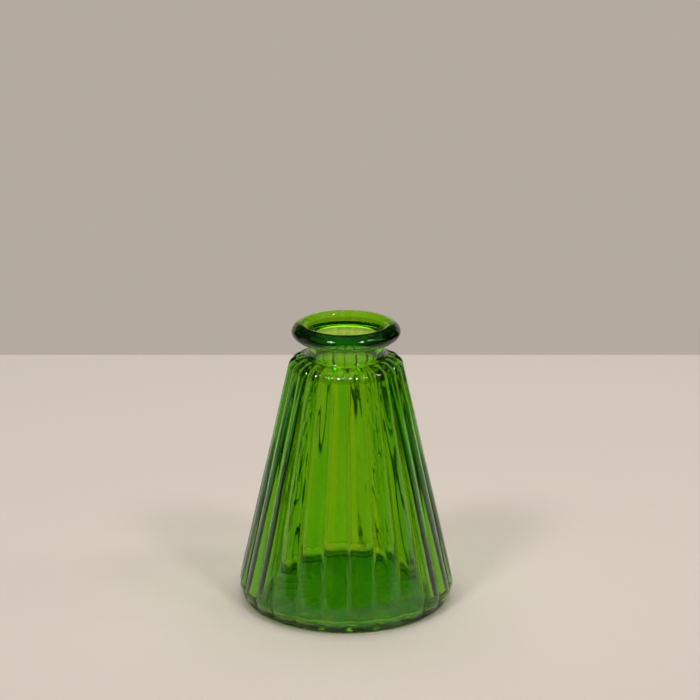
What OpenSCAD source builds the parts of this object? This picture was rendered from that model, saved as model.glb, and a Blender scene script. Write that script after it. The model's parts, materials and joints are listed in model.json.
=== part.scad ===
// Glass bud vase: one moulded piece of glass, with convex ribs running down
// a cone, a short straight neck and a rolled rim. +Z is up, and the origin is
// at the centre of the circle that the vase rests on.

/* [Overall] */
// Height from the resting face to the top of the rim
vase_h = 100; // [92:1:110]

/* [Body] */
// Greatest radius, over the rib crests just above the heel
body_r = 38; // [35:0.5:41]
// Height at which the heel ends and the straight cone starts
heel_h = 6.3; // [5:0.1:8]
// Radius where the heel meets the resting face
foot_r = 34.4; // [33:0.1:34.6]
// Radius over the rib crests at the shoulder edge
shoulder_r = 20.1; // [19:0.1:22]
// Height of the shoulder's rounding
shoulder_h = 3.7; // [3:0.1:4.5]

/* [Ribs] */
// Number of ribs around the body
rib_count = 24; // [20:1:28]
// Depth of the valleys between ribs at the greatest radius
rib_depth = 0.8; // [0.5:0.05:1]
// Share of each rib's pitch that its rounded crest keeps
crest_share = 0.4; // [0.3:0.05:0.6]

/* [Neck and rim] */
// Outer radius of the neck
neck_r = 13.35; // [12.8:0.05:14]
// Height of the neck, from the shoulder's top to the rim's underside
neck_h = 6.4; // [5.6:0.1:7.6]
// Fillet radius at the foot of the neck and under the rim
neck_fillet = 1.4; // [1:0.1:1.8]
// Greatest radius of the rim
rim_r = 18.8; // [18:0.1:20]
// Height of the rim
rim_h = 5.4; // [5:0.1:6]
// Radius of the rim's rounded outer edge
rim_nose_r = 2.3; // [2:0.1:2.5]
// Radius of the rim's highest ring
rim_crest_r = 15; // [14.6:0.1:15.4]

/* [Inside] */
// Radius of the straight bore through the neck
bore_r = 10.8; // [10:0.1:11.2]
// Radius of the mouth, inside the rim's rounded lip
mouth_r = 13.2; // [12.8:0.1:13.6]
// Height of the lip's rounding on the mouth's side
lip_h = 1.7; // [1.2:0.1:2.2]
// Depth of the taper from the rim's top down to the bore
taper_h = 7.5; // [6.5:0.1:8]
// Thickness of the wall behind the valleys
wall_t = 3; // [2.4:0.1:3.4]
// Thickness of the glass in the shoulder
shoulder_t = 1.9; // [1.7:0.1:3]
// Thickness of the glass in the base
base_t = 2.3; // [2:0.1:6]
// Radius of the rounding between the wall and the inner floor
floor_fillet = 1.2; // [0.8:0.1:5]

/* [Foot] */
// Radius of the hollow under the base
hollow_r = 31; // [28:0.1:31.4]
// Depth of the hollow under the base
hollow_h = 0.8; // [0.6:0.1:1.1]

/* [Hidden] */

$fn = 120;
glass_green = [0.36, 0.62, 0.04, 0.8];

// How many straight steps stand for a rounding in an outline.
arc_steps = 9;
// Share of the mouth's step that is left halfway down the taper.
taper_bend = 0.35;
// Width of the rounding at the hollow's edge.
hollow_round = 1.3;
// Radius of the rounding where the bore opens into the chamber.
roof_fillet = 1.6;
// How far a cutter runs past the surface that it cuts.
overrun = 6;

shoulder_top = vase_h - rim_h - neck_h;
shoulder_z = shoulder_top - shoulder_h;
rim_bottom = vase_h - rim_h;

// The crests lie on one cone, and the valleys on another with the same apex,
// so the ribs taper towards the shoulder in proportion.
crest_slope = (body_r - shoulder_r) / (shoulder_z - heel_h);
apex_z = shoulder_z + shoulder_r / crest_slope;
valley_r = body_r - rib_depth;
valley_lean = atan(crest_slope * valley_r / body_r);

// Each valley is a wide V. Its flanks rise from the valley's line to the
// edges of the crests on both sides.
rib_pitch = 360 / rib_count;
flank_turn = rib_pitch / 2 * (1 - crest_share);
flank_rise = body_r * cos(flank_turn) - valley_r;
flank_run = body_r * sin(flank_turn);
cutter_reach = 2 * rib_depth;
cutter_half_w = cutter_reach * flank_run / flank_rise;

// Radius of the inner wall, which follows the valleys at an even thickness.
function wall_inner_r(z) =
    (apex_z - z) * crest_slope * valley_r / body_r - wall_t;

// Points along a quarter, or another part, of an ellipse.
function arc(centre, radii, from, to) =
    [for (i = [0:arc_steps])
        let (a = from + (to - from) * i / arc_steps)
        [centre.x + radii.x * cos(a), centre.y + radii.y * sin(a)]];

// The underside and the outside, from the axis up to the rim's crest.
function foot_outline() = concat(
    [[0, hollow_h]],
    arc([hollow_r - hollow_round, 0], [hollow_round, hollow_h], 90, 0),
    arc([foot_r, heel_h], [body_r - foot_r, heel_h], 270, 360));

function shoulder_outline() =
    let (fillet_x = neck_r + neck_fillet)
    concat(
        arc([fillet_x, shoulder_z], [shoulder_r - fillet_x, shoulder_h],
            0, 90),
        arc([fillet_x, shoulder_top + neck_fillet],
            [neck_fillet, neck_fillet], 260, 180));

function rim_outline() =
    let (
        fillet_x = neck_r + neck_fillet,
        nose_x = rim_r - rim_nose_r,
        nose_z = rim_bottom + rim_nose_r)
    concat(
        arc([fillet_x, rim_bottom - neck_fillet],
            [neck_fillet, neck_fillet], 180, 90),
        arc([nose_x, nose_z], [rim_nose_r, rim_nose_r], 270, 350),
        arc([rim_crest_r, nose_z],
            [rim_r - rim_crest_r, vase_h - nose_z], 0, 90));

// The inside, from the rim's crest down to the axis at the inner floor.
// The lip turns over into a taper that curves gently into the bore.
function mouth_outline() = concat(
    arc([rim_crest_r, vase_h - lip_h], [rim_crest_r - mouth_r, lip_h],
        100, 180),
    [[bore_r + taper_bend * (mouth_r - bore_r),
        vase_h - (lip_h + taper_h) / 2],
     [bore_r, vase_h - taper_h]]);

function chamber_outline() =
    let (
        roof_edge = shoulder_z - shoulder_t,
        roof_top = shoulder_top - shoulder_t,
        roof_x = bore_r + roof_fillet,
        round_z = base_t + floor_fillet)
    concat(
        arc([roof_x, roof_top + roof_fillet], [roof_fillet, roof_fillet],
            180, 260),
        arc([roof_x, roof_edge],
            [wall_inner_r(roof_edge) - roof_x, roof_top - roof_edge],
            90, 0),
        arc([wall_inner_r(round_z) - floor_fillet, round_z],
            [floor_fillet, floor_fillet], 360, 270),
        [[0, base_t]]);

// The glass before its ribs: one section turned about the axis.
module turned_glass() {
    rotate_extrude()
        polygon(concat(foot_outline(), shoulder_outline(), rim_outline(),
            mouth_outline(), chamber_outline()));
}

// Cuts one valley: a V that follows the valley's line down the cone.
module valley_cutter() {
    near = (apex_z - shoulder_top - overrun) / cos(valley_lean);
    far = (apex_z + overrun) / cos(valley_lean);
    translate([0, 0, apex_z])
        rotate([0, -valley_lean, 0])
            translate([0, 0, -far])
                linear_extrude(far - near)
                    polygon([
                        [0, 0],
                        [cutter_reach, -cutter_half_w],
                        [cutter_reach, cutter_half_w]]);
}

// A rib's crest faces +X, so the valleys are half a pitch away from it.
module glass_vase() {
    color(glass_green)
        difference() {
            turned_glass();
            for (i = [0:rib_count - 1])
                rotate([0, 0, (i + 0.5) * rib_pitch])
                    valley_cutter();
        }
}

glass_vase();
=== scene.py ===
"""A ribbed green glass bud vase on a pale table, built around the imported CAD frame.

The vase is one closed mesh, made of rings round +Z that follow a section of the glass. The rings
carry the ribs, the ripples and the stippled foot. Angles round the vase start at its front, -Y,
and grow towards +X. Lengths are in metres.
"""
import json
import math

import bpy
import numpy as np
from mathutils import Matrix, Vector


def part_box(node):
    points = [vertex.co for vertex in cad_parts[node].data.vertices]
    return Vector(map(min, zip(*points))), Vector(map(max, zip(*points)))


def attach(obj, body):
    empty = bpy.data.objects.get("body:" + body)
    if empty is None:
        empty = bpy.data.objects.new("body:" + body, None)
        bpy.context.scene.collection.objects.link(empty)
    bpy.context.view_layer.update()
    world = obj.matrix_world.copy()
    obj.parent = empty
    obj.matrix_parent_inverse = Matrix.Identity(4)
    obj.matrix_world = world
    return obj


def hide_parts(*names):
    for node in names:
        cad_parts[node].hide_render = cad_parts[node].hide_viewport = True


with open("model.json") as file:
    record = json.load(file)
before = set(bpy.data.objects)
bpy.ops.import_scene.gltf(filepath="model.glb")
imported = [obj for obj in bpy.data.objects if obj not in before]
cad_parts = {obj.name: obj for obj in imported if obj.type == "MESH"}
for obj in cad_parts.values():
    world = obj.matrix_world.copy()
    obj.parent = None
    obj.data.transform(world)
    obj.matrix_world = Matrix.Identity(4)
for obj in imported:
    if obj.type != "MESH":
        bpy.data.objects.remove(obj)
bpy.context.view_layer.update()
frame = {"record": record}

MM = 0.001

# ---------------------------------------------------------------- driving sizes
NODE = "glass_vase"
MOUNTS = {mount["name"]: mount for mount in frame["record"]["mounts"]}
far_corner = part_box(NODE)[1]
HEIGHT = far_corner.z
BODY_R = far_corner.x
BORE_R = MOUNTS["neck_bore"]["dims"]["r_mm"] * MM

HEEL_H = 6.3 * MM
FOOT_R = 34.4 * MM
HOLLOW_R = 31 * MM
HOLLOW_H = 0.8 * MM
HOLLOW_ROUND = 1.3 * MM
HOLLOW_DOME = 0.2 * MM

NECK_R = 13.35 * MM
NECK_FILLET = 1.4 * MM
RIM_R = 18.8 * MM
RIM_NOSE_R = 2.3 * MM
RIM_CREST_R = 15.0 * MM
MOUTH_R = 13.2 * MM
LIP_H = 1.7 * MM
RIM_BOTTOM = HEIGHT - 5.4 * MM
SHOULDER_TOP = RIM_BOTTOM - 6.4 * MM
SHOULDER_Z = SHOULDER_TOP - 3.7 * MM
SHOULDER_R = 20.1 * MM

# The wall's thickness is measured from a cone that lies this far inside the widest crests.
WALL_FROM_CREST = 0.6 * MM
WALL_T = 3.0 * MM
BASE_T = 2.3 * MM
FLOOR_FILLET = 1.2 * MM
SHOULDER_T = 1.9 * MM
THROAT_Z = HEIGHT - 7.5 * MM
ROOF_FILLET = 1.6 * MM
ROOF_FLAT = 0.3 * MM

# Bends of the mouth's taper: how far outside the bore, then how far below the top of the rim or
# above the throat.
MOUTH_BEND = (0.9 * MM, 4.4 * MM)
THROAT_BEND = (0.15 * MM, 1 * MM)

CREST_SLOPE = (BODY_R - SHOULDER_R) / (SHOULDER_Z - HEEL_H)


# ---------------------------------------------------------------- camera
LENS_MM = 121.58
SENSOR_MM = 36
CAMERA_DISTANCE = 776 * MM
CAMERA_HEIGHT = 333.5 * MM
CAMERA_PITCH = math.radians(17.41)
CAMERA_TURN = math.radians(5.8)
CAMERA_SIDE = 1.33 * MM
CLIP_START = 10 * MM


def turned(point):
    """A point given as the camera sees it, x right and y away, in the frame's own axes."""
    c, s = math.cos(CAMERA_TURN), math.sin(CAMERA_TURN)
    x, y, z = point
    return Vector((c * x - s * y, s * x + c * y, z))


def add_camera():
    data = bpy.data.cameras.new("camera")
    data.sensor_width = SENSOR_MM
    data.lens = LENS_MM
    data.clip_start = CLIP_START
    camera = bpy.data.objects.new("camera", data)
    bpy.context.scene.collection.objects.link(camera)
    camera.location = turned((CAMERA_SIDE, -CAMERA_DISTANCE, CAMERA_HEIGHT))
    camera.rotation_euler = (math.pi / 2 - CAMERA_PITCH, 0, CAMERA_TURN)
    bpy.context.scene.camera = camera


# ---------------------------------------------------------------- curves
def bell(distance, half_w):
    """1 in the middle, falling to 0 on both sides over a few half widths."""
    return np.exp(-0.5 * (distance / half_w) ** 2)


def smoothstep(value, start, end):
    """0 at start, 1 at end, eased."""
    t = np.clip((value - start) / (end - start), 0, 1)
    return t * t * (3 - 2 * t)


def arc(centre, radii, start, end, count=16):
    """Points along part of an ellipse, from start to end in degrees."""
    turn = np.radians(np.linspace(start, end, count))
    return np.column_stack([centre[0] + radii[0] * np.cos(turn),
                            centre[1] + radii[1] * np.sin(turn)])


def resampled(points, step):
    """Points at even spacing along a line through the given ones."""
    gaps = np.hypot(*np.diff(points, axis=0).T)
    along = np.concatenate([[0], np.cumsum(gaps)])
    count = max(2, int(round(along[-1] / step)) + 1)
    where = np.linspace(0, along[-1], count)
    return np.column_stack([np.interp(where, along, points[:, k]) for k in (0, 1)])


# How many widths of the moving average count.
SOFTEN_REACH = 3


def softened(points, width, step):
    """The line with its corners rounded by a moving average about width long."""
    reach = int(SOFTEN_REACH * width / step)
    weights = bell(np.arange(-reach, reach + 1) * step, width)
    weights /= weights.sum()
    mirrored = np.vstack([2 * points[0] - points[reach:0:-1], points,
                          2 * points[-1] - points[-2:-reach - 2:-1]])
    return np.column_stack([np.convolve(mirrored[:, k], weights, "valid") for k in (0, 1)])


# ---------------------------------------------------------------- the section of the glass
# One of two arcs that meet level stops this many degrees short, so that no point is doubled.
JOIN_GAP = 10


def crest_r(z):
    return BODY_R - CREST_SLOPE * (z - HEEL_H)


def wall_inner_r(z):
    return crest_r(z) * (1 - WALL_FROM_CREST / BODY_R) - WALL_T


def outside_outline():
    """Points of the section from the axis under the base, up the outside, to the rim's crest."""
    fillet_x = NECK_R + NECK_FILLET
    neck_fillet = (NECK_FILLET, NECK_FILLET)
    nose = (RIM_R - RIM_NOSE_R, RIM_BOTTOM + RIM_NOSE_R)
    return np.vstack([
        [[0, HOLLOW_H + HOLLOW_DOME]],
        arc((HOLLOW_R - HOLLOW_ROUND, 0), (HOLLOW_ROUND, HOLLOW_H), 90, 0),
        arc((FOOT_R, HEEL_H), (BODY_R - FOOT_R, HEEL_H), 270, 360),
        arc((fillet_x, SHOULDER_Z), (SHOULDER_R - fillet_x, SHOULDER_TOP - SHOULDER_Z), 0, 90),
        arc((fillet_x, SHOULDER_TOP + NECK_FILLET), neck_fillet, 270 - JOIN_GAP, 180),
        arc((fillet_x, RIM_BOTTOM - NECK_FILLET), neck_fillet, 180, 90),
        arc(nose, (RIM_NOSE_R, RIM_NOSE_R), 270, 360 - JOIN_GAP),
        arc((RIM_CREST_R, nose[1]), (RIM_R - RIM_CREST_R, HEIGHT - nose[1]), 0, 90),
    ])


def inside_outline():
    """Points of the section from the rim's crest, down the inside, to the axis at the floor."""
    roof_edge = SHOULDER_Z - SHOULDER_T
    roof_top = SHOULDER_TOP - SHOULDER_T
    roof_x = BORE_R + ROOF_FILLET + ROOF_FLAT
    round_z = BASE_T + FLOOR_FILLET
    return np.vstack([
        arc((RIM_CREST_R, HEIGHT - LIP_H), (RIM_CREST_R - MOUTH_R, LIP_H), 90 + JOIN_GAP / 2, 180),
        [[BORE_R + MOUTH_BEND[0], HEIGHT - MOUTH_BEND[1]],
         [BORE_R + THROAT_BEND[0], THROAT_Z + THROAT_BEND[1]],
         [BORE_R, THROAT_Z]],
        arc((BORE_R + ROOF_FILLET, roof_top + ROOF_FILLET), (ROOF_FILLET, ROOF_FILLET), 180, 270),
        arc((roof_x, roof_edge), (wall_inner_r(roof_edge) - roof_x, roof_top - roof_edge), 90, 0),
        arc((wall_inner_r(round_z) - FLOOR_FILLET, round_z), (FLOOR_FILLET, FLOOR_FILLET), 360, 270),
        [[0, BASE_T]],
    ])


FINE_STEP = 0.1 * MM
CORNER_ROUNDING = 0.35 * MM
# Spacing of the rings where the section bends, where it is straight, on the stippled foot, on the
# ring above the heel and on the uneven inner wall.
SPACING_CURVED = 0.5 * MM
SPACING_STRAIGHT = 2.6 * MM
SPACING_FOOT = 0.33 * MM
SPACING_RING = 0.15 * MM
SPACING_WALL = 1.7 * MM
# A bend this tight, in radians per metre, already draws the rings together.
TIGHT_BEND = 40

STIPPLE_INNER_R = 30.5 * MM
FOOT_TOP = 2.6 * MM
RING_Z = 5.2 * MM
RING_HALF_W = 0.3 * MM
# How many half widths of the ring are drawn with close rows, and where the inner wall's rows start.
RING_REACH = 3
CHAMBER_R = BORE_R + 2 * MM


def thinned(points, detail):
    """Keeps the points that the curve and its detail need: close together where it bends."""
    turn = np.gradient(np.unwrap(np.arctan2(*np.gradient(points, axis=0).T[::-1])))
    bend = np.abs(turn) / FINE_STEP
    spacing = SPACING_CURVED + (SPACING_STRAIGHT - SPACING_CURVED) * np.exp(-bend / TIGHT_BEND)
    spacing = np.minimum(spacing, detail(points))
    count = np.cumsum(FINE_STEP / spacing)
    wanted = np.linspace(count[0], count[-1], int(count[-1]))
    return np.column_stack([np.interp(wanted, count, points[:, k]) for k in (0, 1)])


def outside_detail(points):
    """Most spacing that the foot, the ring above the heel and the rest of the outside take."""
    r, z = points[:, 0], points[:, 1]
    foot = np.where((r > STIPPLE_INNER_R) & (z < FOOT_TOP), SPACING_FOOT, SPACING_STRAIGHT)
    return np.where(np.abs(z - RING_Z) < RING_REACH * RING_HALF_W, SPACING_RING, foot)


def inside_detail(points):
    """Most spacing that the uneven inner wall and the rest of the inside take."""
    return np.where(points[:, 0] > CHAMBER_R, SPACING_WALL, SPACING_STRAIGHT)


def section_lines():
    """The outside and the inside of the section, as the rings' radii and heights."""
    lines = []
    for points, detail in ((outside_outline(), outside_detail), (inside_outline(), inside_detail)):
        even = resampled(points, FINE_STEP)
        lines.append(thinned(softened(even, CORNER_ROUNDING, FINE_STEP), detail))
    outside, inside = lines
    outside[0, 0] = 0
    inside[-1, 0] = 0
    return outside, inside


# ---------------------------------------------------------------- ribs
RIB_COUNT = 24
RIB_PITCH = 2 * math.pi / RIB_COUNT
# Places of the vertices from a valley towards the crest, as shares of the pitch.
RIB_SAMPLES = (0, 0.01, 0.02, 0.035, 0.055, 0.085, 0.13, 0.2, 0.3, 0.4)
CREST_SHARE = 0.5
BULGE = 0.75 * MM
BULGE_TAPER = 0.3
GROOVE = 0.30 * MM
GROOVE_HALF_W = 0.26 * MM
VALLEY_ROUNDING = 0.06

# The mould's seam runs down two opposite crests, on extra vertices.
SEAM_ANGLE = math.radians(30)
SEAM_OFFSETS = (-0.04, -0.02, 0, 0.02, 0.04)
SEAM_HALF_W = 0.16 * MM
SEAM_HEIGHT = 0.07 * MM
SAME_ANGLE = 0.01


def around():
    """Angles round the vase, closest together beside each valley and seam."""
    across = (*RIB_SAMPLES, CREST_SHARE, *(1 - share for share in RIB_SAMPLES[:0:-1]))
    angles = []
    for rib in range(RIB_COUNT):
        start = (rib + 0.5) * RIB_PITCH
        past_seam = start + RIB_PITCH / 2 - SEAM_ANGLE
        seamed = min(abs(past_seam), abs(past_seam - math.pi)) < SAME_ANGLE
        for share in across:
            offsets = SEAM_OFFSETS if seamed and share == CREST_SHARE else (0,)
            angles += [start + (share + offset) * RIB_PITCH for offset in offsets]
    return np.array(angles)


def off_crest(angles):
    """0 on a rib's crest, 1 in the valleys beside it."""
    return np.abs((angles / RIB_PITCH + 0.5) % 1 - 0.5) * 2


def rib_bulge(r, angles):
    """How far a rib's bulging face falls away from its crest."""
    to_valley = 1 - off_crest(angles)
    to_valley = np.sqrt(to_valley ** 2 + VALLEY_ROUNDING ** 2) - VALLEY_ROUNDING
    return BULGE * ((r / BODY_R) ** BULGE_TAPER)[:, None] * ((1 - to_valley) ** 2)[None, :]


def rib_groove(r, angles):
    """The narrow groove along every valley."""
    distance = (1 - off_crest(angles))[None, :] * (r * RIB_PITCH / 2)[:, None]
    return (r / BODY_R)[:, None] * GROOVE * bell(distance, GROOVE_HALF_W)


# ---------------------------------------------------------------- unevenness of the glass
def waves(angles, heights, seed, count, around_range, up_range):
    """A smooth field of summed waves round and up the vase, about 1 high."""
    rng = np.random.default_rng(seed)
    field = np.zeros((len(heights), len(angles)))
    for _ in range(count):
        turns = rng.integers(*around_range) * rng.choice([-1, 1])
        rise = rng.uniform(*up_range) * 2 * math.pi
        shift = rng.uniform(0, 2 * math.pi)
        field += np.cos(turns * angles[None, :] + rise * heights[:, None] + shift)
    return field / math.sqrt(count / 2)


# Waves in a full turn round the vase, and in a metre of height.
WANDER_WAVES = {"seed": 5, "count": 14, "around_range": (2, 9), "up_range": (3, 30)}
EDGE_WAVES = {"seed": 21, "count": 40, "around_range": (40, 120), "up_range": (80, 330)}
SWELL_WAVES = {"seed": 31, "count": 16, "around_range": (3, 14), "up_range": (4, 28)}
RIPPLE_WAVES = {"seed": 12, "count": 60, "around_range": (40, 120), "up_range": (5, 80)}

# Outside: where the ribs start above the foot and beyond the neck, the slight wander of the whole
# surface, the ripples of the shoulder's edge and the raised ring above the heel. The body is held
# in a little, and more beside the ring, so that nothing stands past the CAD model.
RIBS_LOW = (0.3 * MM, 3.2 * MM)
RIBS_PAST_NECK = (1.4 * MM, 4.2 * MM)
RIBS_PAST_SHOULDER = 0.2 * MM
OUTER_WANDER = 0.04 * MM
EDGE_RIPPLE = 0.035 * MM
EDGE_RISE = 1.2 * MM
EDGE_HALF_H = 1.6 * MM
RING_HEIGHT = 0.2 * MM
RING_DIP_HALF_W = 2.2 * MM
KEEP_IN = 0.12 * MM

# Inside: where the wall starts beyond the bore and above the floor, how much it follows the ribs,
# its slow swells, and finer ripples in a few upright zones, each an angle and a half width.
WALL_PAST_BORE = (1 * MM, 6 * MM)
WALL_PAST_FLOOR = (0.1 * MM, 4 * MM)
INNER_FOLLOW = 0.75
INNER_SWELL = 0.05 * MM
INNER_RIPPLE = 0.045 * MM
RIPPLE_ZONES = ((-0.62, 0.14), (0.55, 0.11), (1.8, 0.2), (4.4, 0.2))
RIPPLE_Z = 14 * MM
RIPPLE_FADE = 12 * MM

# Dimples of the foot: rounds of them, their depth and pitch, and where they start and fade out.
STIPPLE_COUNT = 84
STIPPLE_DEPTH = 0.36 * MM
STIPPLE_PITCH = 1.35 * MM
STIPPLE_FADE_IN = 1.5 * MM
STIPPLE_FADE_OUT = (1.6 * MM, 3.2 * MM)


def outer_offsets(points, angles):
    """How far the outside stands off its section line: ribs, seams, ripples and the ring."""
    r, z = points[:, 0], points[:, 1]
    past_neck = smoothstep(r, NECK_R + RIBS_PAST_NECK[0], NECK_R + RIBS_PAST_NECK[1])
    on_body = smoothstep(z, *RIBS_LOW) * past_neck
    on_body = np.where(z > SHOULDER_TOP + RIBS_PAST_SHOULDER, 0, on_body)[:, None]
    ribs = -(rib_bulge(r, angles) + rib_groove(r, angles)) * on_body
    past_seam = np.abs((angles - SEAM_ANGLE + math.pi / 2) % math.pi - math.pi / 2)
    seam = bell(past_seam[None, :] * r[:, None], SEAM_HALF_W) * SEAM_HEIGHT
    ring = bell(z - RING_Z, RING_HALF_W) * (r > FOOT_R) * RING_HEIGHT
    at_edge = bell(z - SHOULDER_Z - EDGE_RISE, EDGE_HALF_H)[:, None]
    wander = waves(angles, z, **WANDER_WAVES) * OUTER_WANDER
    wander += waves(angles, z, **EDGE_WAVES) * EDGE_RIPPLE * at_edge
    keep_in = KEEP_IN + RING_HEIGHT * bell(z - RING_Z, RING_DIP_HALF_W)
    return ribs + ring[:, None] + (seam + wander - keep_in[:, None]) * on_body


def inner_offsets(points, angles):
    """How far the inner wall stands off its section line: ribs, slow swells and ripples."""
    r, z = points[:, 0], points[:, 1]
    on_wall = smoothstep(r, BORE_R + WALL_PAST_BORE[0], BORE_R + WALL_PAST_BORE[1])
    on_wall *= smoothstep(z, BASE_T + WALL_PAST_FLOOR[0], BASE_T + WALL_PAST_FLOOR[1])
    on_wall *= z < SHOULDER_TOP
    swell = waves(angles, z, **SWELL_WAVES) * INNER_SWELL
    follow = INNER_FOLLOW * rib_bulge(r + WALL_T, angles)
    zones = np.zeros(len(angles))
    for centre, half_w in RIPPLE_ZONES:
        gap = (angles - centre + math.pi) % (2 * math.pi) - math.pi
        zones += bell(gap, half_w)
    ripple = waves(angles, z, **RIPPLE_WAVES) * INNER_RIPPLE
    ripple *= zones[None, :] * smoothstep(z, RIPPLE_Z, RIPPLE_Z + RIPPLE_FADE)[:, None]
    return (swell + follow + ripple) * on_wall[:, None]


def stipple(points, angles):
    """Dimples in the foot, cut up into the glass so that their rims still touch the table."""
    r, z = points[:, 0], points[:, 1]
    here = smoothstep(r, STIPPLE_INNER_R, STIPPLE_INNER_R + STIPPLE_FADE_IN)
    here *= 1 - smoothstep(z, *STIPPLE_FADE_OUT)
    along = np.concatenate([[0], np.cumsum(np.hypot(*np.diff(points, axis=0).T))])
    rounds = np.cos(STIPPLE_COUNT * angles)[None, :]
    rows = np.cos(2 * math.pi * along / STIPPLE_PITCH)[:, None]
    return -STIPPLE_DEPTH * here[:, None] * (0.5 - 0.5 * rounds * rows)


# ---------------------------------------------------------------- the mesh
def outward(points):
    """Unit normals of the section line, to its right as it runs up the outside."""
    along = np.gradient(points, axis=0)
    along /= np.linalg.norm(along, axis=1)[:, None]
    return np.column_stack([along[:, 1], -along[:, 0]])


def band_faces(start_a, count_a, start_b, count_b):
    """Faces between two rings, where one may have twice the vertices of the other."""
    if count_a == count_b:
        i = np.arange(count_a)
        j = (i + 1) % count_a
        return np.column_stack([start_a + i, start_a + j, start_b + j, start_b + i]).tolist()
    few = min(count_a, count_b)
    i = np.arange(few)
    j = (i + 1) % few
    start_few, start_many = (start_a, start_b) if count_a == few else (start_b, start_a)
    few_i, few_j = start_few + i, start_few + j
    many_i, many_mid, many_j = start_many + 2 * i, start_many + 2 * i + 1, start_many + 2 * j
    fans = [(few_i, many_mid, many_i), (few_i, few_j, many_mid), (few_j, many_j, many_mid)]
    if count_a != few:
        fans = [fan[::-1] for fan in fans]
    return [row for fan in fans for row in np.column_stack(fan).tolist()]


def lathe(name, points, ring_angles, ring_offsets):
    """A closed surface of rings, with one vertex where the line meets the axis at each end."""
    normals = outward(points)
    rings, starts, total = [], [], 0
    for k in range(1, len(points) - 1):
        angles, offset = ring_angles[k], ring_offsets[k]
        r = points[k, 0] + normals[k, 0] * offset
        z = points[k, 1] + normals[k, 1] * offset
        rings.append(np.column_stack([r * np.sin(angles), -r * np.cos(angles), z]))
        starts.append((total, len(angles)))
        total += len(angles)
    faces = []
    for (start_a, count_a), (start_b, count_b) in zip(starts, starts[1:]):
        faces += band_faces(start_a, count_a, start_b, count_b)
    ends = [[0, 0, rings[0][:, 2].mean()], [0, 0, rings[-1][:, 2].mean()]]
    start, count = starts[0]
    faces += [(total, start + (c + 1) % count, start + c) for c in range(count)]
    start, count = starts[-1]
    faces += [(total + 1, start + c, start + (c + 1) % count) for c in range(count)]
    mesh = bpy.data.meshes.new(name)
    mesh.from_pydata(np.vstack([*rings, ends]).tolist(), [], faces)
    mesh.shade_smooth()
    obj = bpy.data.objects.new(name, mesh)
    bpy.context.scene.collection.objects.link(obj)
    return obj


PAST_NECK = 0.5 * MM


def needs_fine(point, on_outside):
    """Whether a ring lies on the ribs, the foot or the inner wall, where detail is small."""
    r, z = point
    if on_outside:
        return r > STIPPLE_INNER_R or (r > NECK_R + PAST_NECK and z < SHOULDER_TOP)
    return r > CHAMBER_R and z < SHOULDER_TOP


def add_vase():
    outside, inside = section_lines()
    points = np.vstack([outside, inside])
    fine = around()
    coarse = fine[::2]
    rows = {}
    for angles in (fine, coarse):
        outer = outer_offsets(outside, angles) + stipple(outside, angles)
        rows[len(angles)] = np.vstack([outer, inner_offsets(inside, angles)])
    ring_angles, offsets = [], []
    for index, point in enumerate(points):
        angles = fine if needs_fine(point, index < len(outside)) else coarse
        ring_angles.append(angles)
        offsets.append(rows[len(angles)][index])
    vase = lathe("vase_glass", points, ring_angles, offsets)
    vase.data.materials.append(green_glass())
    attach(vase, "root")
    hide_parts(NODE)


# ---------------------------------------------------------------- material nodes
def new_material(name):
    material = bpy.data.materials.new(name)
    material.use_nodes = True
    tree = material.node_tree
    tree.nodes.clear()
    output = tree.nodes.new("ShaderNodeOutputMaterial")
    return material, tree, output


def set_input(tree, socket, value):
    """Gives a socket a number, a colour or another node's output."""
    if isinstance(value, (int, float)):
        socket.default_value = value
    elif isinstance(value, tuple):
        socket.default_value = (*value, 1)
    else:
        tree.links.new(value, socket)


def math_node(tree, operation, *inputs):
    node = tree.nodes.new("ShaderNodeMath")
    node.operation = operation
    for socket, value in zip(node.inputs, inputs):
        set_input(tree, socket, value)
    return node.outputs[0]


def ramp_node(tree, value, start, end):
    """0 at start, 1 at end, eased."""
    node = tree.nodes.new("ShaderNodeMapRange")
    node.interpolation_type = "SMOOTHSTEP"
    node.inputs["From Min"].default_value = min(start, end)
    node.inputs["From Max"].default_value = max(start, end)
    node.inputs["To Min"].default_value = float(start > end)
    node.inputs["To Max"].default_value = float(start < end)
    tree.links.new(value, node.inputs["Value"])
    return node.outputs["Result"]


def colour_mix(tree, share, first, second):
    """The first colour where share is 0 and the second where it is 1."""
    node = tree.nodes.new("ShaderNodeMix")
    node.data_type = "RGBA"
    tree.links.new(share, node.inputs["Factor"])
    set_input(tree, node.inputs[6], first)
    set_input(tree, node.inputs[7], second)
    return node.outputs[2]


def noise_node(tree, vector, scale, detail):
    node = tree.nodes.new("ShaderNodeTexNoise")
    node.inputs["Scale"].default_value = scale
    node.inputs["Detail"].default_value = detail
    tree.links.new(vector, node.inputs["Vector"])
    return node.outputs["Fac"]


def object_axes(tree, place):
    axes = tree.nodes.new("ShaderNodeSeparateXYZ")
    tree.links.new(place.outputs["Object"], axes.inputs[0])
    return axes.outputs


# ---------------------------------------------------------------- glass
GLASS_IOR = 1.52
ABSORB_DENSITY = 850.0
ABSORB_COLOUR = (0.752, 0.905, 0.0)

# Streaks of painted shade in the glass's tint: greener stripes that stand for the vase's green
# shadow on the table seen through the glass. They are placed across a rib as shares of its pitch.
# The shift puts 0.5 on the crest.
CLEAR_TINT = (1.0, 1.0, 1.0)
STREAK_SHADE_TINT = (0.74, 0.965, 1.0)
STREAK_RISE = (0.33, 0.45)
STREAK_FALL = (1.0, 0.93)
STREAK_WANDER = 0.16
STREAK_SHIFT = 0.5 - STREAK_WANDER / 2
STREAK_NOISE_ROUND = 1.7
STREAK_NOISE_UP = 9.0
STREAK_NOISE_DETAIL = 3

GLASS_ROUGHNESS = 0.045
FOOT_ROUGHNESS = 0.05
FOOT_GRAIN_TOP = 1.6 * MM
FOOT_GRAIN_FADE = 0.3 * MM

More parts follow.
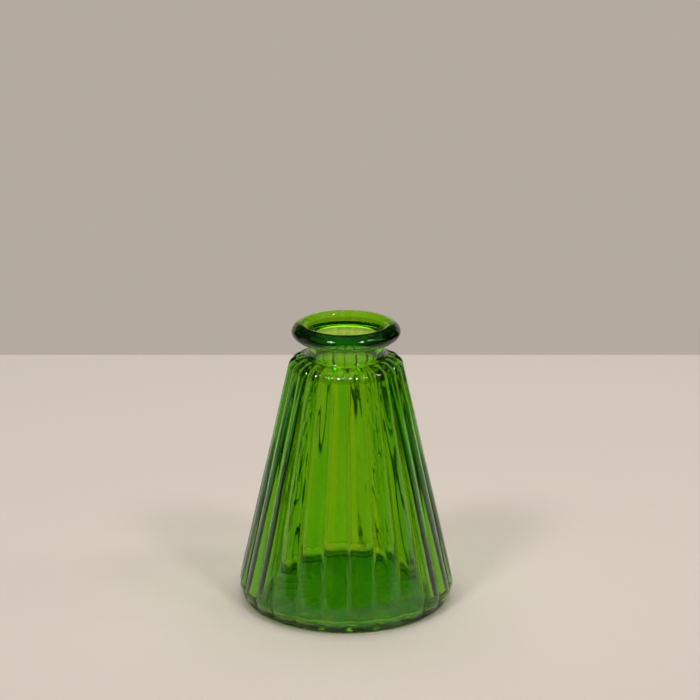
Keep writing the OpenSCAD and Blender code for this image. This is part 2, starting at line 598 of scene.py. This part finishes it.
SURFACE_NOISE_SCALE = 220
SURFACE_NOISE_DETAIL = 2
SURFACE_BUMP_STRENGTH = 0.12
SURFACE_BUMP_HEIGHT = 0.1 * MM


def shade_streaks(tree, place):
    """Streaks of painted shade, tinted greener, down one side of every rib, broken up a little."""
    axes = object_axes(tree, place)
    to_front = math_node(tree, "MULTIPLY", axes["Y"], -1.0)
    turn = math_node(tree, "ARCTAN2", axes["X"], to_front)
    ribs = math_node(tree, "MULTIPLY", turn, 1 / RIB_PITCH)
    where = tree.nodes.new("ShaderNodeCombineXYZ")
    tree.links.new(math_node(tree, "MULTIPLY", ribs, STREAK_NOISE_ROUND), where.inputs[0])
    tree.links.new(math_node(tree, "MULTIPLY", axes["Z"], STREAK_NOISE_UP), where.inputs[1])
    uneven = noise_node(tree, where.outputs[0], 1.0, STREAK_NOISE_DETAIL)
    wander = math_node(tree, "MULTIPLY", uneven, STREAK_WANDER)
    shifted = math_node(tree, "ADD", ribs, wander)
    share = math_node(tree, "FRACT", math_node(tree, "ADD", shifted, STREAK_SHIFT))
    rise = ramp_node(tree, share, *STREAK_RISE)
    fall = ramp_node(tree, share, *STREAK_FALL)
    return math_node(tree, "MULTIPLY", rise, fall)


def foot_grain(tree, place):
    """Roughness of polished glass everywhere but on the grained underside."""
    height = object_axes(tree, place)["Z"]
    below = ramp_node(tree, height, FOOT_GRAIN_TOP, FOOT_GRAIN_TOP - FOOT_GRAIN_FADE)
    grain = math_node(tree, "MULTIPLY", below, FOOT_ROUGHNESS)
    return math_node(tree, "ADD", grain, GLASS_ROUGHNESS)


def surface_bump(tree, place):
    """Slight waviness of a moulded surface."""
    bump = tree.nodes.new("ShaderNodeBump")
    bump.inputs["Strength"].default_value = SURFACE_BUMP_STRENGTH
    bump.inputs["Distance"].default_value = SURFACE_BUMP_HEIGHT
    noise = noise_node(tree, place.outputs["Object"], SURFACE_NOISE_SCALE, SURFACE_NOISE_DETAIL)
    tree.links.new(noise, bump.inputs["Height"])
    return bump.outputs["Normal"]


def green_glass():
    """Glass that takes its colour from the length of glass that light passes through, with streaks
    of painted shade in its tint.
    """
    material, tree, output = new_material("green_glass")
    place = tree.nodes.new("ShaderNodeTexCoord")
    shader = tree.nodes.new("ShaderNodeBsdfPrincipled")
    shader.inputs["Transmission Weight"].default_value = 1
    shader.inputs["IOR"].default_value = GLASS_IOR
    # Base colour: clear, with greener streaks of painted shade down one side of every rib.
    streak_shade_colour = colour_mix(tree, shade_streaks(tree, place), CLEAR_TINT, STREAK_SHADE_TINT)
    tree.links.new(streak_shade_colour, shader.inputs["Base Color"])
    tree.links.new(foot_grain(tree, place), shader.inputs["Roughness"])
    tree.links.new(surface_bump(tree, place), shader.inputs["Normal"])
    tree.links.new(shader.outputs["BSDF"], output.inputs["Surface"])
    absorb = tree.nodes.new("ShaderNodeVolumeAbsorption")
    absorb.inputs["Color"].default_value = (*ABSORB_COLOUR, 1)
    absorb.inputs["Density"].default_value = ABSORB_DENSITY
    tree.links.new(absorb.outputs["Volume"], output.inputs["Volume"])
    return material


# ---------------------------------------------------------------- table
TABLE_BACK = 280 * MM
TABLE_REACH = 1.5
TABLE_ROUGHNESS = 0.6
TABLE_COLOUR = (0.70, 0.635, 0.575)
# The dark colour far from the vase is painted shade.
TABLE_PAINTED_SHADE_COLOUR = (0.25, 0.227, 0.205)
# The centre of the painted pool of light, behind the vase, and the distances from there between
# which it fades to painted shade.
PAINTED_LIGHT_POOL_BEHIND = 0.15
PAINTED_LIGHT_POOL_FADE = (0.15, 0.95)


def table_paint_and_painted_light():
    """Pale paint with a painted pool of light round the vase, darkening to painted shade far from it
    so that the glass reflects little of it.
    """
    material, tree, output = new_material("table_paint_and_painted_light")
    place = tree.nodes.new("ShaderNodeTexCoord")
    centred = tree.nodes.new("ShaderNodeVectorMath")
    centred.operation = "SUBTRACT"
    centred.inputs[1].default_value = turned((0, PAINTED_LIGHT_POOL_BEHIND, 0))
    tree.links.new(place.outputs["Object"], centred.inputs[0])
    reach = tree.nodes.new("ShaderNodeVectorMath")
    reach.operation = "LENGTH"
    tree.links.new(centred.outputs["Vector"], reach.inputs[0])
    # far is the share of painted shade: 0 in the painted pool of light round the vase, 1 far from
    # it.
    far = ramp_node(tree, reach.outputs["Value"], *PAINTED_LIGHT_POOL_FADE)
    shader = tree.nodes.new("ShaderNodeBsdfPrincipled")
    shader.inputs["Roughness"].default_value = TABLE_ROUGHNESS
    colour = colour_mix(tree, far, TABLE_COLOUR, TABLE_PAINTED_SHADE_COLOUR)
    tree.links.new(colour, shader.inputs["Base Color"])
    tree.links.new(shader.outputs["BSDF"], output.inputs["Surface"])
    return material


def add_table():
    corners = [turned((x, y, 0)) for x, y in (
        (-TABLE_REACH, -TABLE_REACH), (TABLE_REACH, -TABLE_REACH),
        (TABLE_REACH, TABLE_BACK), (-TABLE_REACH, TABLE_BACK))]
    mesh = bpy.data.meshes.new("table")
    mesh.from_pydata(corners, [], [(0, 1, 2, 3)])
    mesh.materials.append(table_paint_and_painted_light())
    table = bpy.data.objects.new("table", mesh)
    bpy.context.scene.collection.objects.link(table)


# ---------------------------------------------------------------- light
LIGHT_COLOUR = (1, 0.97, 0.93)
# Name, azimuth and elevation in degrees, distance, size and watts. Azimuth 0 is behind the camera
# and grows to its right.
LIGHTS = (
    ("window_left", -40, 49, 1.4, (0.24, 0.30), 5.2),
    ("window_right", 42, 49, 1.4, (0.20, 0.28), 3.8),
    ("lamp_side", 72, 54, 1.4, (0.16, 0.16), 1.4),
    ("lamp_low", 86, 34, 1.4, (0.16, 0.16), 1.0),
)
SKYLIGHT = ("skylight", 180, 76, 1.5, (1.5, 1.2), 17)


def add_light(name, azimuth, elevation, distance, size, power):
    """A soft rectangular light aimed at the middle of the vase."""
    data = bpy.data.lights.new(name, "AREA")
    data.shape = "RECTANGLE"
    data.size, data.size_y = size
    data.energy = power
    data.color = LIGHT_COLOUR
    light = bpy.data.objects.new(name, data)
    bpy.context.scene.collection.objects.link(light)
    turn, lift = math.radians(azimuth), math.radians(elevation)
    aim = Vector((0, 0, HEIGHT / 2))
    flat = math.cos(lift) * distance
    light.location = aim + turned((math.sin(turn) * flat, -math.cos(turn) * flat,
                                   math.sin(lift) * distance))
    light.rotation_euler = (light.location - aim).to_track_quat("Z", "Y").to_euler()
    return light


def add_lights():
    """Windows and lamps that sparkle in the glass, and a skylight that shows in no reflection."""
    for light in LIGHTS:
        add_light(*light)
    skylight = add_light(*SKYLIGHT)
    skylight.visible_glossy = False


# ---------------------------------------------------------------- air
WALL_COLOUR = (0.456, 0.402, 0.352)
SIDE_COLOUR = (0.02, 0.018, 0.016)
DIM_COLOUR = (0.018, 0.017, 0.016)
CEILING_COLOUR = (0.06, 0.057, 0.053)

# Directions of the boards to the left of the vase, and of the pale corner behind it and below.
BESIDE = Vector((-1, 0, 0))
CORNER = Vector((-0.67, 0.67, -0.33))
# Fades, as cosines from a direction: the boards behind, beside and in the corner, and the sides.
BEHIND_FADE = (0.72, 0.84)
BESIDE_FADE = (0.955, 0.98)
CORNER_FADE = (0.94, 0.965)
SIDE_FADE = (-0.6, -0.25)
# Fades, as heights looked up at: the tops of the boards and of the sides, and the ceiling.
BOARD_TOP = (0.34, 0.16)
SIDE_TOP = (0.5, 0.25)
CEILING_FADE = (0.45, 0.75)


def facing(tree, place, direction, fade):
    """1 towards the direction and 0 away from it, fading between the two cosines."""
    node = tree.nodes.new("ShaderNodeVectorMath")
    node.operation = "DOT_PRODUCT"
    node.inputs[1].default_value = direction
    tree.links.new(place.outputs["Generated"], node.inputs[0])
    return ramp_node(tree, node.outputs["Value"], *fade)


def add_air():
    """Pale boards low down behind and to the left of the vase, in a dim room."""
    world = bpy.data.worlds.new("air")
    bpy.context.scene.world = world
    world.use_nodes = True
    tree = world.node_tree
    place = tree.nodes.new("ShaderNodeTexCoord")
    axes = tree.nodes.new("ShaderNodeSeparateXYZ")
    tree.links.new(place.outputs["Generated"], axes.inputs[0])
    height = axes.outputs["Z"]
    ahead = turned((0, 1, 0))
    low = ramp_node(tree, height, *BOARD_TOP)
    behind = math_node(tree, "MULTIPLY", facing(tree, place, ahead, BEHIND_FADE), low)
    beside = math_node(tree, "MULTIPLY", facing(tree, place, BESIDE, BESIDE_FADE), low)
    boards = math_node(tree, "MAXIMUM", behind, beside)
    corner = facing(tree, place, CORNER, CORNER_FADE)
    boards = math_node(tree, "MAXIMUM", boards, corner)
    low_side = math_node(tree, "MULTIPLY", facing(tree, place, ahead, SIDE_FADE),
                         ramp_node(tree, height, *SIDE_TOP))
    above = colour_mix(tree, ramp_node(tree, height, *CEILING_FADE), DIM_COLOUR, CEILING_COLOUR)
    sides = colour_mix(tree, low_side, above, SIDE_COLOUR)
    colour = colour_mix(tree, boards, sides, WALL_COLOUR)
    tree.links.new(colour, tree.nodes["Background"].inputs["Color"])


# ---------------------------------------------------------------- what the glass needs to render
GLASS_BOUNCES = 32
OTHER_BOUNCES = 16


def set_render():
    """Standard colours, and enough bounces for light to cross the many layers of glass."""
    scene = bpy.context.scene
    scene.view_settings.view_transform = "Standard"
    scene.cycles.use_denoising = True
    scene.cycles.max_bounces = GLASS_BOUNCES
    scene.cycles.transmission_bounces = GLASS_BOUNCES
    scene.cycles.transparent_max_bounces = OTHER_BOUNCES
    scene.cycles.glossy_bounces = OTHER_BOUNCES
    scene.cycles.caustics_reflective = True
    scene.cycles.caustics_refractive = True
    scene.cycles.blur_glossy = 0


add_camera()
add_vase()
add_table()
add_lights()
add_air()
set_render()
